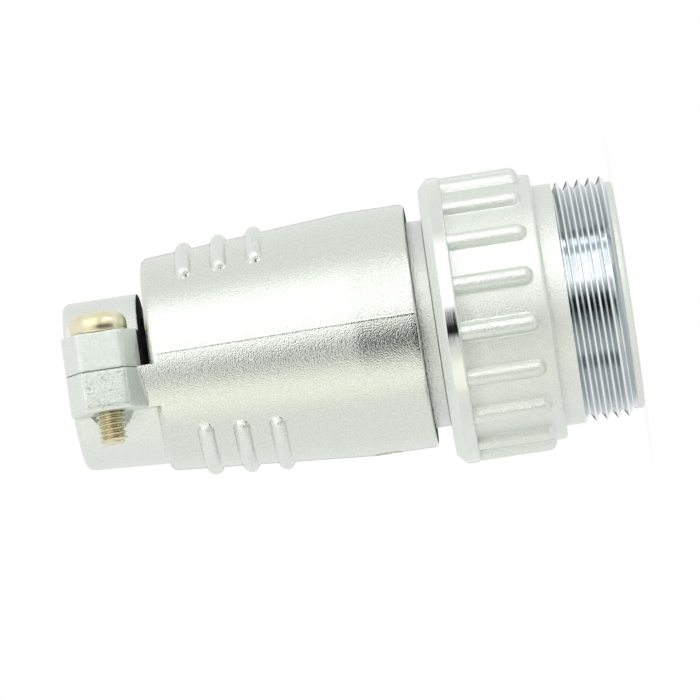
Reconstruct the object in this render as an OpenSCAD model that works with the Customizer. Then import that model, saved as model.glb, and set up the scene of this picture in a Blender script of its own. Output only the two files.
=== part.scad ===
// Cable-end circular connector: a threaded coupling front with a fluted grip, a tapered rear shell
// screwed onto its neck, and a cable clamp with one loose half and two screws.
// The axis is +Z. The mating face lies on z = 0 and the cable leaves at the top.
// +X points to the loose half of the cable clamp.

/* [Coupling front] */
// Outer diameter of the coupling thread
thread_d = 22; // [21:0.1:24]
// Length from the mating face to the end of the thread
thread_len = 5.5; // [4:0.1:8]
// Length of the plain lead-in in front of the thread
thread_lead = 0.6; // [0.3:0.1:1.2]
// How far the lead-in falls below the thread
lead_drop = 0.6; // [0.4:0.1:1.4]
// Length of the plain collar behind the thread
collar_len = 1.8; // [1:0.1:4]
// Wall between the thread and the mating socket
socket_wall = 2; // [1.6:0.1:2.4]
// Depth of the mating socket
socket_depth = 8.6; // [6:0.1:11]
// Width of the polarising key in the socket
key_w = 2; // [1:0.1:3]
// Height of the polarising key
key_h = 1; // [0.6:0.1:1.4]
// Distance of the key from the mating face
key_setback = 1.2; // [0:0.1:3]

/* [Fluted grip] */
// Diameter over the grip's flange
grip_d = 26.1; // [25.6:0.1:30]
// Length of the grip with its flange
grip_len = 10.2; // [8:0.1:14]
// Length of the flange at the rear of the grip
flange_len = 2.1; // [1.4:0.1:3]
// Bevel on the flange's rear edge
flange_bevel = 0.85; // [0.3:0.05:1.1]
// Number of ribs round the grip
rib_count = 18; // [12:1:24]
// Width of a rib
rib_w = 1.5; // [1:0.05:2]
// Height of a rib
rib_h = 0.9; // [0.5:0.05:1.1]
// Plain band in front of the ribs
rib_setback = 1.1; // [0.4:0.1:2]
// Angle of the first rib from +X, in degrees
rib_turn = -1.8; // [-10:0.1:10]

/* [Neck] */
// Outer diameter of the neck
neck_d = 18.9; // [18.6:0.1:20]
// Length of neck that shows in front of the rear shell
neck_show = 1.5; // [0.6:0.1:4]
// Length of neck inside the rear shell
neck_hold = 7; // [6.6:0.1:9]
// Wall of the neck around the insert
neck_wall = 1; // [0.9:0.05:1.3]

/* [Rear shell] */
// Outer diameter of the shell's straight front
shell_front_d = 22.3; // [21.8:0.1:25]
// Outer diameter at the shell's rear edge
shell_rear_d = 19.4; // [18.4:0.1:20.8]
// Length of the rear shell without the clamp
shell_len = 24.4; // [20:0.1:34]
// Length of the straight front before the taper
barrel_len = 5.7; // [4:0.1:9]
// Wall of the tapered part
shell_wall = 1.6; // [1.2:0.1:2.2]
// Wall at the shell's rear end
rear_wall = 1.6; // [1:0.1:3]
// Rounding of the rear edge
rear_round = 0.75; // [0.2:0.05:1]
// Rounding of the front edge
front_round = 0.35; // [0.1:0.05:0.6]

/* [Finger ridges] */
// Ridges on each side of the shell
ridge_count = 3; // [1:1:4]
// Distance from one ridge to the next
ridge_pitch = 3.25; // [2.4:0.05:4]
// Width of a ridge
ridge_w = 1.4; // [0.8:0.05:1.8]
// Height of a ridge
ridge_h = 0.65; // [0.3:0.05:0.9]
// Angle that a ridge covers, in degrees
ridge_span = 88; // [50:1:110]
// Distance of the last ridge from the shell's rear edge
ridge_setback = 4; // [2.5:0.1:6]

/* [Cable clamp] */
// Diameter of the cable hole
cable_d = 9; // [6:0.1:10]
// Length of the clamp along the cable
clamp_len = 6.9; // [6:0.1:10]
// Gap between the loose half and the shell
saddle_gap = 0.7; // [0.3:0.1:2]
// Wall of the loose half over the cable
saddle_wall = 2.2; // [1.4:0.05:2.6]
// Rounding of the loose half's rear edge
saddle_round = 0.6; // [0.1:0.05:1]
// Height of each screw lug on the loose half
lug_h = 3.45; // [2.4:0.05:4.2]
// Height of each screw lug on the fixed half
base_lug_h = 3.7; // [2.4:0.05:4.2]
// Bevel of the fixed half's lugs along their feet
lug_foot_bevel = 0.4; // [0.1:0.05:1]
// Distance of the split plane below the axis
split_drop = 0.85; // [0:0.05:1.5]
// Width of a lug's outer face
lug_face_w = 4; // [3:0.1:5.6]
// Depth of a lug's slanted corners
lug_bevel = 2.2; // [1:0.1:3]
// Distance from the screw's axis to the lug's outer face
lug_edge = 2.5; // [2:0.1:4]
// Step from the shell's rear edge down to the fixed half
base_step = 0.65; // [0.2:0.05:1]
// Taper of the fixed half towards its rear edge
base_taper = 0.45; // [0:0.05:1]
// Rounding of the fixed half's rear edge
base_round = 0.8; // [0.2:0.05:1.2]
// Diameter of the relief in the fixed half around each screw's tip
relief_d = 4.2; // [3.4:0.1:5]

/* [Clamp screws] */
// Distance between the two screws
screw_spacing = 17.6; // [16.4:0.1:20]
// Thread diameter of the screws
screw_d = 2.6; // [2:0.1:3]
// Length of a screw under its head
screw_len = 10; // [7:0.5:12]
// Diameter of the head
head_d = 5.2; // [4:0.1:6]
// Height of the head
head_h = 2.1; // [1.4:0.1:2.6]
// Width of the cross recess
recess_w = 0.7; // [0.4:0.05:1]
// Length of the cross recess
recess_len = 2.8; // [1.8:0.1:3.4]
// Depth of the cross recess
recess_depth = 1.1; // [0.6:0.1:1.3]

/* [Set screw] */
// Thread diameter of the set screw
set_screw_d = 2.4; // [1.6:0.1:3]
// Distance of the set screw from the shell's front edge
set_screw_setback = 4.6; // [3:0.1:5]
// Depth of the set screw's seat in the neck
set_screw_seat = 0.35; // [0.2:0.05:0.5]
// How far the set screw lies below the surface
set_screw_sink = 0.1; // [0:0.05:0.4]
// Width of its slot
slot_w = 0.45; // [0.3:0.05:0.8]
// Depth of its slot
slot_depth = 0.7; // [0.4:0.05:1]

/* [Insert] */
// Width of the seat that stops the insert
seat_w = 0.75; // [0.5:0.05:1]
// Length of the seat along the axis
seat_len = 1.4; // [1:0.1:2]
// Length of the front insulator behind its seat
front_insulator_len = 4; // [3:0.1:6]
// Length of the rear insulator
rear_insulator_len = 4; // [3:0.1:6]
// Thickness of the retaining ring
ring_t = 0.9; // [0.6:0.1:1.2]
// Depth of the ring's groove
groove_depth = 0.45; // [0.3:0.05:0.6]
// How far the ring stands in from its groove
ring_w = 1.6; // [1.2:0.1:1.8]
// Angle of the opening in the ring, in degrees
ring_opening = 40; // [20:1:80]
// Diameter of the circle that the contacts lie on
contact_circle_d = 9; // [8:0.1:9.6]
// Diameter of a contact pin
pin_d = 2; // [1.4:0.1:2.4]
// Distance of the pin tips from the mating face
pin_setback = 2.2; // [1:0.1:4]
// Diameter of the shoulder that holds a contact
shoulder_d = 3.4; // [2.9:0.1:3.8]
// Length of that shoulder
shoulder_len = 1.5; // [1:0.1:2]
// Outer diameter of a solder cup
cup_d = 2.8; // [2.6:0.1:2.8]
// Inner diameter of a solder cup
cup_bore_d = 1.9; // [1.2:0.1:2]
// Length of a solder cup behind the rear insulator
cup_len = 5.5; // [4:0.1:7]
// Length of the open side of a solder cup
cup_window = 3; // [2:0.1:3.8]

/* [Fits] */
// Radial clearance of the insert, the contacts and the neck
fit_gap = 0.05; // [0.02:0.01:0.1]
// Clearance behind the end of the neck
neck_clear = 0.3; // [0.1:0.05:1]
// Radial clearance of a screw in its tapped hole
tapped_gap = 0.05; // [0.02:0.01:0.1]
// Radial clearance of a screw in the loose half, and of its head beside the arch
through_gap = 0.1; // [0.05:0.01:0.2]

/* [Hidden] */
$fn = 128;
arc_steps = 6;
cut = 1;

contact_count = 4;
first_contact = 45;

// Radii
thread_r = thread_d / 2;
socket_r = thread_r - socket_wall;
grip_r = grip_d / 2;
flute_r = grip_r - rib_h;
neck_r = neck_d / 2;
insert_r = neck_r - neck_wall;
seat_r = insert_r - seat_w;
groove_r = insert_r + groove_depth;
shell_front_r = shell_front_d / 2;
shell_rear_r = shell_rear_d / 2;
cable_r = cable_d / 2;
saddle_r = cable_r + saddle_wall;
base_front_r = shell_rear_r - base_step;
base_rear_r = base_front_r - base_taper;

// Small edges that no one sets
rim_bevel = 0.3;
lead_round = min(thread_lead, socket_wall - lead_drop - rim_bevel) / 2;
lead_slant = 30;
saddle_edge = 0.2;
ridge_end_inset = 0.03;
ridge_end_hold = ridge_w / 4;
grip_edge = 0.35;
flange_edge = 0.2;
rib_drop = 0.04;
neck_bevel = 0.4;
cavity_round = 1;
taper_blend = 30;
lug_edge_round = 0.5;
web_inset = 0.03;
tip_bevel = 0.3;
head_shoulder = 1.1;
head_dome = 0.25;

// Places along the axis, from the mating face
collar_end = thread_len + collar_len;
grip_end = collar_end + grip_len;
flange_start = grip_end - flange_len;
shell_start = grip_end + neck_show;
neck_end = shell_start + neck_hold;
barrel_end = shell_start + barrel_len;
shell_end = shell_start + shell_len;
cavity_end = shell_end - rear_wall;
saddle_start = shell_end + saddle_gap;
clamp_end = saddle_start + clamp_len;
screw_z = saddle_start + clamp_len / 2;
set_screw_z = shell_start + set_screw_setback;
seat_end = socket_depth + seat_len;
front_insulator_end = seat_end + front_insulator_len;
rear_insulator_end = front_insulator_end + rear_insulator_len;
groove_end = rear_insulator_end + ring_t + 2 * fit_gap;
shoulder_start = front_insulator_end - shoulder_len;
cup_end = rear_insulator_end + cup_len;

// Places across the axis
split_x = -split_drop;
head_seat_x = split_x + lug_h;
lug_foot_x = split_x - base_lug_h;
screw_y = screw_spacing / 2;
// The lugs reach past their screws, and at least as far out as the shell's side
lug_y = max(screw_y + lug_edge, shell_front_r);

function unit(v) = v / norm(v);

// Outer radius of the rear shell at a height z
function shell_r(z) = z < barrel_end
    ? shell_front_r
    : shell_front_r + (shell_rear_r - shell_front_r) * (z - barrel_end) / (shell_end - barrel_end);

// Points of a round corner of radius r at p, between its neighbours a and b
function corner_arc(a, p, b, r) =
    let (
        to_a = unit(a - p),
        to_b = unit(b - p),
        half = acos(to_a * to_b) / 2,
        centre = p + unit(to_a + to_b) * r / sin(half),
        first = p + to_a * r / tan(half) - centre,
        last = p + to_b * r / tan(half) - centre,
        start = atan2(first.y, first.x),
        turn = atan2(last.y, last.x) - start,
        sweep = turn > 180 ? turn - 360 : turn < -180 ? turn + 360 : turn
    )
    [for (i = [0:arc_steps])
        let (angle = start + sweep * i / arc_steps)
        centre + r * [cos(angle), sin(angle)]];

// Outline through corners [x, y, radius], each rounded by its own radius
function rounded(corners) =
    let (n = len(corners))
    [for (i = [0:n - 1])
        let (
            before = corners[(i + n - 1) % n],
            here = corners[i],
            after = corners[(i + 1) % n]
        )
        each here.z > 0
            ? corner_arc([before.x, before.y], [here.x, here.y], [after.x, after.y], here.z)
            : [[here.x, here.y]]];

// Puts its child on each clamp screw's axis, with the child's +Z along +X
module at_screw(side) {
    translate([0, side * screw_y, screw_z])
        rotate([0, 90, 0])
            children();
}

// Puts its child on the set screw's axis, with the child's +Z pointing outwards
module at_set_screw() {
    translate([0, 0, set_screw_z])
        rotate([0, -90, 0])
            children();
}

// Everything on the loose half's side of the split plane, or on the other side
module split_half(loose) {
    reach = 2 * (lug_y + clamp_end);
    translate([split_x + (loose ? 0 : -reach), -reach / 2, -reach / 2])
        cube(reach);
}

// Both screw lugs as one plate across the cable, from x1 to x2
module lug_plate(x1, x2) {
    half_face = lug_face_w / 2;
    half_root = clamp_len / 2;
    root_y = lug_y - lug_bevel;
    translate([x1, 0, screw_z])
        rotate([90, 0, 90])
            linear_extrude(x2 - x1)
                polygon(rounded([
                    [-lug_y, -half_face, lug_edge_round],
                    [-root_y, -half_root, 0],
                    [root_y, -half_root, 0],
                    [lug_y, -half_face, lug_edge_round],
                    [lug_y, half_face, lug_edge_round],
                    [root_y, half_root, 0],
                    [-root_y, half_root, 0],
                    [-lug_y, half_face, lug_edge_round]
                ]));
}

// The ribs of the grip, each with a round front end
module grip_ribs() {
    rib_start = collar_end + rib_setback + rib_w / 2;
    for (i = [0:rib_count - 1])
        rotate(rib_turn + i * 360 / rib_count)
            translate([grip_r - rib_drop - rib_w / 2, 0, rib_start]) {
                sphere(d = rib_w);
                cylinder(d = rib_w, h = flange_start + flange_len / 2 - rib_start);
            }
}

// Threaded coupling, collar, fluted grip and neck, cast as one piece
module front_shell() {
    color("gainsboro")
        difference() {
            union() {
                rotate_extrude()
                    polygon(rounded([
                        [socket_r + rim_bevel, 0, 0],
                        [thread_r - lead_drop, 0, lead_round],
                        [thread_r - lead_drop, thread_lead, 0],
                        [thread_r, thread_lead + lead_drop * tan(lead_slant), 0],
                        [thread_r, collar_end, 0],
                        [flute_r, collar_end, grip_edge],
                        [flute_r, flange_start, 0],
                        [grip_r, flange_start, flange_edge],
                        [grip_r, grip_end - flange_bevel, flange_edge],
                        [grip_r - flange_bevel, grip_end, flange_edge],
                        [neck_r, grip_end, 0],
                        [neck_r, neck_end - neck_bevel, 0],
                        [neck_r - neck_bevel, neck_end, 0],
                        [insert_r, neck_end, 0],
                        [insert_r, groove_end, 0],
                        [groove_r, groove_end, 0],
                        [groove_r, rear_insulator_end, 0],
                        [insert_r, rear_insulator_end, 0],
                        [insert_r, seat_end, 0],
                        [seat_r, seat_end, 0],
                        [seat_r, socket_depth, 0],
                        [socket_r, socket_depth, 0],
                        [socket_r, rim_bevel, 0]
                    ]));
                grip_ribs();
                translate([socket_r - key_h, -key_w / 2, key_setback])
                    cube([key_h + socket_wall / 2, key_w, socket_depth - key_setback + seat_len / 2]);
            }
            at_set_screw()
                translate([0, 0, neck_r - set_screw_seat])
                    cylinder(d = set_screw_d + 2 * tapped_gap, h = set_screw_seat + cut);
        }
}

// Raised finger ridges on the +X and -X sides of the shell, with tapered ends
module finger_ridges() {
    for (side = [0, 180], i = [0:ridge_count - 1]) {
        z = shell_end - ridge_setback - i * ridge_pitch;
        centre_r = shell_r(z) + ridge_h - ridge_w / 2;
        end_d = ridge_w - 2 * ridge_end_inset;
        translate([0, 0, z])
            rotate(side) {
                rotate(-ridge_span / 2)
                    rotate_extrude(angle = ridge_span)
                        translate([centre_r, 0])
                            circle(d = ridge_w);
                for (end = [-1, 1])
                    rotate(end * ridge_span / 2)
                        translate([centre_r, 0, 0])
                            rotate([-end * 90, 0, 0])
                                translate([0, 0, -ridge_end_hold])
                                    cylinder(d1 = end_d, d2 = end_d / 2, h = ridge_w);
            }
    }
}

// Web that carries the taper on to the fixed half's lugs
module lug_web() {
    root = shell_end - rear_wall / 2;
    tip = screw_z - lug_face_w / 2;
    intersection() {
        rotate_extrude()
            polygon([
                [0, root],
                [shell_r(root) - web_inset, root],
                [shell_r(tip) - web_inset, tip],
                [0, tip]
            ]);
        translate([lug_foot_x, -lug_y, 0])
            cube([base_lug_h, 2 * lug_y, clamp_end]);
    }
}

// Fixed half of the cable clamp, cast on the rear shell
module clamp_base() {
    root = shell_end - rear_wall / 2;
    bevel_side = lug_foot_bevel * sqrt(2);
    intersection() {
        rotate_extrude()
            polygon(rounded([
                [0, root, 0],
                [base_front_r, root, 0],
                [base_front_r, shell_end, 0],
                [base_rear_r, clamp_end, base_round],
                [0, clamp_end, 0]
            ]));
        split_half(false);
    }
    lug_web();
    difference() {
        lug_plate(lug_foot_x, split_x);
        for (side = [-1, 1])
            translate([lug_foot_x, side * lug_y, screw_z])
                rotate(45)
                    cube([bevel_side, bevel_side, clamp_len], center = true);
    }
}

// Tapered rear shell with the wiring space and the fixed clamp half
module rear_shell() {
    bore_r = neck_r + fit_gap;
    bore_end = neck_end + neck_clear;
    color("gainsboro")
        difference() {
            union() {
                rotate_extrude()
                    polygon(rounded([
                        [0, shell_start, 0],
                        [shell_front_r, shell_start, front_round],
                        [shell_front_r, barrel_end, taper_blend],
                        [shell_rear_r, shell_end, rear_round],
                        [0, shell_end, 0]
                    ]));
                finger_ridges();
                difference() {
                    clamp_base();
                    for (side = [-1, 1])
                        at_screw(side)
                            translate([0, 0, lug_foot_x - clamp_end])
                                cylinder(d = relief_d, h = clamp_end);
                }
            }
            rotate_extrude()
                polygon(rounded([
                    [0, shell_start - cut, 0],
                    [bore_r, shell_start - cut, 0],
                    [bore_r, bore_end, 0],
                    [shell_r(bore_end) - shell_wall, bore_end, 0],
                    [shell_r(cavity_end) - shell_wall, cavity_end, cavity_round],
                    [0, cavity_end, 0]
                ]));
            translate([0, 0, cavity_end - cut])
                cylinder(r = cable_r, h = clamp_end - cavity_end + 2 * cut);
            for (side = [-1, 1])
                at_screw(side)
                    translate([0, 0, lug_foot_x - cut])
                        cylinder(d = screw_d + 2 * tapped_gap, h = base_lug_h + 2 * cut);
            at_set_screw()
                translate([0, 0, neck_r - cut])
                    cylinder(d = set_screw_d + 2 * tapped_gap, h = shell_front_r - neck_r + 2 * cut);
        }
}

// Loose half of the cable clamp
module clamp_saddle() {
    color("lightgray")
        difference() {
            union() {
                intersection() {
                    rotate_extrude()
                        polygon(rounded([
                            [0, saddle_start, 0],
                            [saddle_r, saddle_start, saddle_edge],
                            [saddle_r, clamp_end, saddle_round],
                            [0, clamp_end, 0]
                        ]));
                    split_half(true);
                }
                lug_plate(split_x, head_seat_x);
            }
            translate([0, 0, saddle_start - cut])
                cylinder(r = cable_r, h = clamp_len + 2 * cut);
            for (side = [-1, 1])
                at_screw(side) {
                    translate([0, 0, split_x - cut])
                        cylinder(d = screw_d + 2 * through_gap, h = lug_h + 2 * cut);
                    translate([0, 0, head_seat_x])
                        cylinder(d = head_d + 2 * through_gap, h = saddle_r);
                }
        }
}

// Pan-head clamp screw with a cross recess
module clamp_screw(side) {
    head_r = head_d / 2;
    color("darkkhaki")
        at_screw(side)
            translate([0, 0, head_seat_x])
                difference() {
                    rotate_extrude()
                        polygon(rounded([
                            [0, -screw_len, 0],
                            [screw_d / 2 - tip_bevel, -screw_len, 0],
                            [screw_d / 2, tip_bevel - screw_len, 0],
                            [screw_d / 2, 0, 0],
                            [head_r, 0, 0],
                            [head_r, head_h - head_dome, head_shoulder],
                            [0, head_h, 0]
                        ]));
                    for (turn = [0, 90])
                        rotate(turn)
                            translate([-recess_len / 2, -recess_w / 2, head_h - recess_depth])
                                cube([recess_len, recess_w, recess_depth + cut]);
                }
}

// Slotted set screw that locks the rear shell on the neck
module set_screw() {
    seat = neck_r - set_screw_seat;
    top = shell_r(set_screw_z) - set_screw_sink;
    color("darkkhaki")
        at_set_screw()
            difference() {
                translate([0, 0, seat])
                    cylinder(d = set_screw_d, h = top - seat);
                translate([-set_screw_d, -slot_w / 2, top - slot_depth])
                    cube([2 * set_screw_d, slot_w, slot_depth + cut]);
            }
}

// Places its child on each contact's axis
module at_contact(i) {
    rotate(first_contact + i * 360 / contact_count)
        translate([contact_circle_d / 2, 0, 0])
            children();
}

// Front insulator: its nose passes through the seat and closes the socket's floor
module front_insulator() {
    color("dimgray")
        difference() {
            union() {
                translate([0, 0, socket_depth])
                    cylinder(r = seat_r - fit_gap, h = seat_len + front_insulator_len);
                translate([0, 0, seat_end])
                    cylinder(r = insert_r - fit_gap, h = front_insulator_len);
            }
            for (i = [0:contact_count - 1])
                at_contact(i) {
                    translate([0, 0, socket_depth - cut])
                        cylinder(d = pin_d + 2 * fit_gap, h = shoulder_start - socket_depth + 2 * cut);
                    translate([0, 0, shoulder_start])
                        cylinder(d = shoulder_d + 2 * fit_gap, h = shoulder_len + cut);
                }
        }
}

// Rear insulator: closes the contacts' shoulders in from behind
module rear_insulator() {
    color("dimgray")
        difference() {
            translate([0, 0, front_insulator_end])
                cylinder(r = insert_r - fit_gap, h = rear_insulator_len);
            for (i = [0:contact_count - 1])
                at_contact(i)
                    translate([0, 0, front_insulator_end - cut])
                        cylinder(d = cup_d + 2 * fit_gap, h = rear_insulator_len + 2 * cut);
        }
}

// Spring ring that holds the insert in the front shell
module retaining_ring() {
    color("silver")
        rotate(180 + ring_opening / 2)
            rotate_extrude(angle = 360 - ring_opening)
                translate([groove_r - fit_gap - ring_w, rear_insulator_end])
                    square([ring_w, ring_t]);
}

// Contact pin with its shoulder and an open solder cup
module contact(i) {
    pin_r = pin_d / 2;
    cup_r = cup_d / 2;
    color("goldenrod")
        at_contact(i)
            difference() {
                rotate_extrude()
                    polygon(rounded([
                        [0, pin_setback, 0],
                        [pin_r, pin_setback, pin_r * 0.6],
                        [pin_r, shoulder_start, 0],
                        [shoulder_d / 2, shoulder_start, 0],
                        [shoulder_d / 2, front_insulator_end, 0],
                        [cup_r, front_insulator_end, 0],
                        [cup_r, cup_end, 0],
                        [0, cup_end, 0]
                    ]));
                translate([0, 0, cup_end - cup_window - cup_r])
                    cylinder(d = cup_bore_d, h = cup_window + cup_r + cut);
                translate([0, -cup_r, cup_end - cup_window])
                    cube([cup_d, cup_d, cup_window + cut]);
            }
}

front_shell();
rear_shell();
clamp_saddle();
clamp_screw(-1);  // clamp_screw_left
clamp_screw(1);  // clamp_screw_right
set_screw();
front_insulator();
rear_insulator();
retaining_ring();
contact(0);  // contact_1
contact(1);  // contact_2
contact(2);  // contact_3
contact(3);  // contact_4
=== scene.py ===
"""Looks of a cable-end circular connector, built around its solids.

Lengths are in millimetres until a mesh is made, and the scene is in metres. The connector stands on its mating
face with its axis along +Z, and the camera lies on its side, so that +Z points left in the picture.
"""

import math

import bmesh
import bpy
import numpy as np
from mathutils import Matrix, Vector


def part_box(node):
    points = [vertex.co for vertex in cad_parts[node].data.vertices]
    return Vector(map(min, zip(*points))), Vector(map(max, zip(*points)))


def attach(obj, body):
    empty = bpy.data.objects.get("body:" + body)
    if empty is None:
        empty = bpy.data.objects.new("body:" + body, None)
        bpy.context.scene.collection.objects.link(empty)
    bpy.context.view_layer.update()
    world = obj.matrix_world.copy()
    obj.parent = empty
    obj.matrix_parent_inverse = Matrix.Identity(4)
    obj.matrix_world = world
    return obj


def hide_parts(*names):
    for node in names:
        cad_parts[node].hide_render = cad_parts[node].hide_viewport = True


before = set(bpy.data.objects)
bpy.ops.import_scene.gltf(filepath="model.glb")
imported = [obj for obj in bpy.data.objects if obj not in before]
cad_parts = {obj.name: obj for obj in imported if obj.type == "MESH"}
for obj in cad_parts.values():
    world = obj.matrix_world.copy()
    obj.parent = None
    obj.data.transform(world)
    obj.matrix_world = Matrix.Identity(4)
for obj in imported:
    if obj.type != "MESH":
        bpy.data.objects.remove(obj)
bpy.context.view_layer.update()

MM = 0.001


def box_mm(node):
    """Lowest and highest corner of a solid, in millimetres."""
    low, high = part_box(node)
    return np.array(low) / MM, np.array(high) / MM


front_high = box_mm("front_shell")[1]
rear_low, rear_high = box_mm("rear_shell")
saddle_low = box_mm("clamp_saddle")[0]
screw_low, screw_high = box_mm("clamp_screw_left")
set_low, set_high = box_mm("set_screw")

# Coupling front
THREAD_R = 11.0
THREAD_PITCH = 1.0
THREAD_DEPTH = 0.736
THREAD_END = 5.5
CREST_HEIGHT = -0.016
LEAD_ANGLE = math.radians(30)
LIP_R = THREAD_R - 0.6
LIP_LEN = 0.6
LIP_ROUND = 0.3
COLLAR_END = 7.3
COLLAR_FILLET = 0.1
SOCKET_R = 9.0
SOCKET_DEPTH = 8.6
RIM_BEVEL = 0.3
KEY_W = 2.0
KEY_H = 1.0
KEY_START = 1.2
KEY_SINK = 0.5
KEY_BEVEL = 0.15

# Places of a thread's rows over one pitch, closest at crest and root
TOOTH_SHARES = (0, 0.033, 0.067, 0.1, 0.45, 0.467, 0.483, 0.5, 0.517, 0.533, 0.55, 0.9, 0.933, 0.967)

# Depth shares between which a thread's face counts as flank, and as land outside them
FLANK_SHARES = (0.1, 0.95)

# Fluted grip
GRIP_R = front_high[0]
RIB_COUNT = 18
RIB_HALF_PITCH = math.pi / RIB_COUNT
RIB_R = 0.75
RIB_H = 0.9
RIB_DROP = 0.04
RIB_SETBACK = 1.1
RIB_TURN = math.radians(-1.8)
RIB_FILLET = 0.16
RIB_SIDE = math.radians(68)
RIB_FLANK = (0.45, 1.05)
RIB_LEAD = 0.35
FLUTE_R = GRIP_R - RIB_H
GRIP_EDGE = 0.35
FLANGE_START = 15.4
FLANGE_END = 17.5
FLANGE_BEVEL = 0.85
FLANGE_EDGE = 0.2
FLANGE_ROOT = 0.06
RIM_START = FLANGE_START + FLANGE_EDGE
RIM_END = FLANGE_END - FLANGE_BEVEL

# Neck and insert seat
NECK_R = 9.45
NECK_END = front_high[2]
NECK_BEVEL = 0.4
NECK_FILLET = 0.12
INSERT_R = 8.45
GROOVE_R = 8.9
GROOVE_START = 18.0
GROOVE_END = 19.0
SEAT_R = 7.7
SEAT_END = 10.0

# Distances by which rows keep off the next form, so that its edge stays crisp
CLOSE_ROW = 0.02
EDGE_ROW = 0.05
NEAR_ROW = 0.1

# Rear shell
SHELL_START = rear_low[2]
SHELL_END = 43.4
BARREL_END = 24.7
SHELL_FRONT_R = 11.15
SHELL_REAR_R = 9.7
FRONT_ROUND = 0.35
REAR_ROUND = 0.75
BORE_R = 9.5
BORE_END = 26.3
CAVITY_END = 41.8
CAVITY_ROUND = 1.0
SHELL_WALL = 1.6
CABLE_R = 4.5

# Finger ridges
RIDGE_COUNT = 3
RIDGE_PITCH = 3.25
RIDGE_R = 0.7
RIDGE_H = 0.65
RIDGE_HALF_SPAN = math.radians(44)
RIDGE_SETBACK = 4.0
RIDGE_FILLET = 0.18
RIDGE_REACH = 1.3
RIDGE_HEIGHTS = [SHELL_END - RIDGE_SETBACK - k * RIDGE_PITCH for k in range(RIDGE_COUNT)]

# Parting line of the casting
PARTING_H = 0.04
PARTING_W = 0.08
PARTING_UNEVEN = 0.25
PARTING_WAVES = (3.1, 1.7)

# Clamp
LUG_Y = rear_high[1]
LUG_FLAT = 0.12
LUG_FACE_HALF = 2.0
LUG_FOOT_X = -4.55
CLAMP_CUT = SHELL_END + 0.05
CLAMP_ROOT = SHELL_END - 0.5
SPLIT_X = -0.85
WEB_R = 7.0
WEB_SINK = 1.2
WEB_FLUSH = 0.01
SPOT_R = 2.3
SPOT_DEPTH = 4.0

# Loose half: how far the painted shade on its front reaches, on its face and in the cable hole
SADDLE_START = saddle_low[2]
SHADE_DEPTH_ON_FACE = 0.1
SHADE_DEPTH_IN_HOLE = 1.1

# Softened castings
REAR_GRID = 0.14
SADDLE_GRID = 0.12
SOFT_ROUNDS = 4

# Screws
SCREW_X = 2.6
SCREW_Y = -(screw_low[1] + screw_high[1]) / 2
SCREW_Z = (screw_low[2] + screw_high[2]) / 2
SCREW_R = 1.3
SCREW_LEN = 10.0
SCREW_PITCH = 0.45
SCREW_DEPTH = 0.33
SCREW_LEAD = 0.05
TIP_R = SCREW_R - SCREW_DEPTH - 0.1
HEAD_R = 2.6
HEAD_H = 2.1
HEAD_EDGE = 0.08
HEAD_SHOULDER = 1.1
HEAD_DOME = 0.25
RECESS_LEN = 2.8
RECESS_W = 0.7
RECESS_DEPTH = 1.1
SET_HOLE_R = 1.25

# Columns and rows of the turned meshes
ROD_COLUMNS = 64
RIB_TIP_ROWS = 15
RIB_SIDE_ROWS = 5
SHELL_COLUMNS = 300
SHELL_ROWS = 50
RIDGE_ROWS = 25
WEB_COLUMNS = 256
WEB_ROWS = 30
SCREW_COLUMNS = 48

# How far a cutter reaches past what it cuts
CUT_MARGIN = 1.0

# Limits that tell faces apart when they get their finish
SOCKET_BAND = 1.0
RIM_BAND = 0.01
CLAMP_BAND = 0.02
WEB_BAND = 0.004
RIDGE_BAND = 0.12
HOLE_BAND = 0.3
PLAIN_TIP = 0.1
FACING_DOWN = -0.97

# Picture
CAMERA_DISTANCE = 537.0
CAMERA_TURN = math.radians(6)
CAMERA_HEIGHT = 10.0
AXIS_RISE = math.radians(8.6)
TARGET_HEIGHT = 25.74
TARGET_DROP = 1.26
SCALE_PX_PER_MM = 11.0
IMAGE_PX = 700
SENSOR = 36.0

# Studio
WORLD_COLOUR = (0.95, 0.97, 1)
WORLD_STRENGTH = 0.55
FLOOR_HALF = 3000
FLOOR_COLOUR = (0.95, 0.95, 0.95)
FLOOR_ROUGHNESS = 0.9
SHADOW_START = 11
SHADOW_END = 19
SHADOW_SEEN = 0.91
THREAD_GLOW = 4.9
GLOW_COLOUR = (1, 0.91, 0.88)
WARM_COLOUR = (1, 1, 0.93)


# Small shape helpers

def smooth_max(a, b, blend):
    """The larger of two heights, with a fillet of about that size where they meet."""
    share = np.clip(0.5 + 0.5 * (a - b) / blend, 0, 1)
    return b + (a - b) * share + blend * share * (1 - share)


def rib_top(distance, radius):
    """Height of a round rib over its centre line at a distance from it, with straight sides at the foot."""
    edge = radius * math.sin(RIB_SIDE)
    inside = np.minimum(distance, edge)
    return np.sqrt(radius**2 - inside**2) - math.tan(RIB_SIDE) * np.maximum(distance - edge, 0)


def turn_between(angle, place):
    """Signed turn from a place to an angle, within half a turn."""
    return (angle - place + math.pi) % (2 * math.pi) - math.pi


def arc(centre, radius, start, end, steps=5):
    """Points [r, z] on an arc, with its angles in degrees from the outward direction."""
    angles = np.radians(np.linspace(start, end, steps + 1))
    return [(centre[0] + radius * math.cos(a), centre[1] + radius * math.sin(a)) for a in angles]


def spread_angles(count, places):
    """Angles round a full turn, closer together near places given as (angle, half width, gain)."""
    fine = np.linspace(0, 2 * math.pi, 40 * count)
    density = np.ones_like(fine)
    for place, half_width, gain in places:
        density += gain * np.exp(-(turn_between(fine, place) / half_width) ** 2)
    total = np.concatenate([[0], np.cumsum((density[1:] + density[:-1]) / 2)])
    return np.interp(np.arange(count) / count * total[-1], total, fine)


def even_angles(count):
    return np.arange(count) / count * 2 * math.pi


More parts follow.
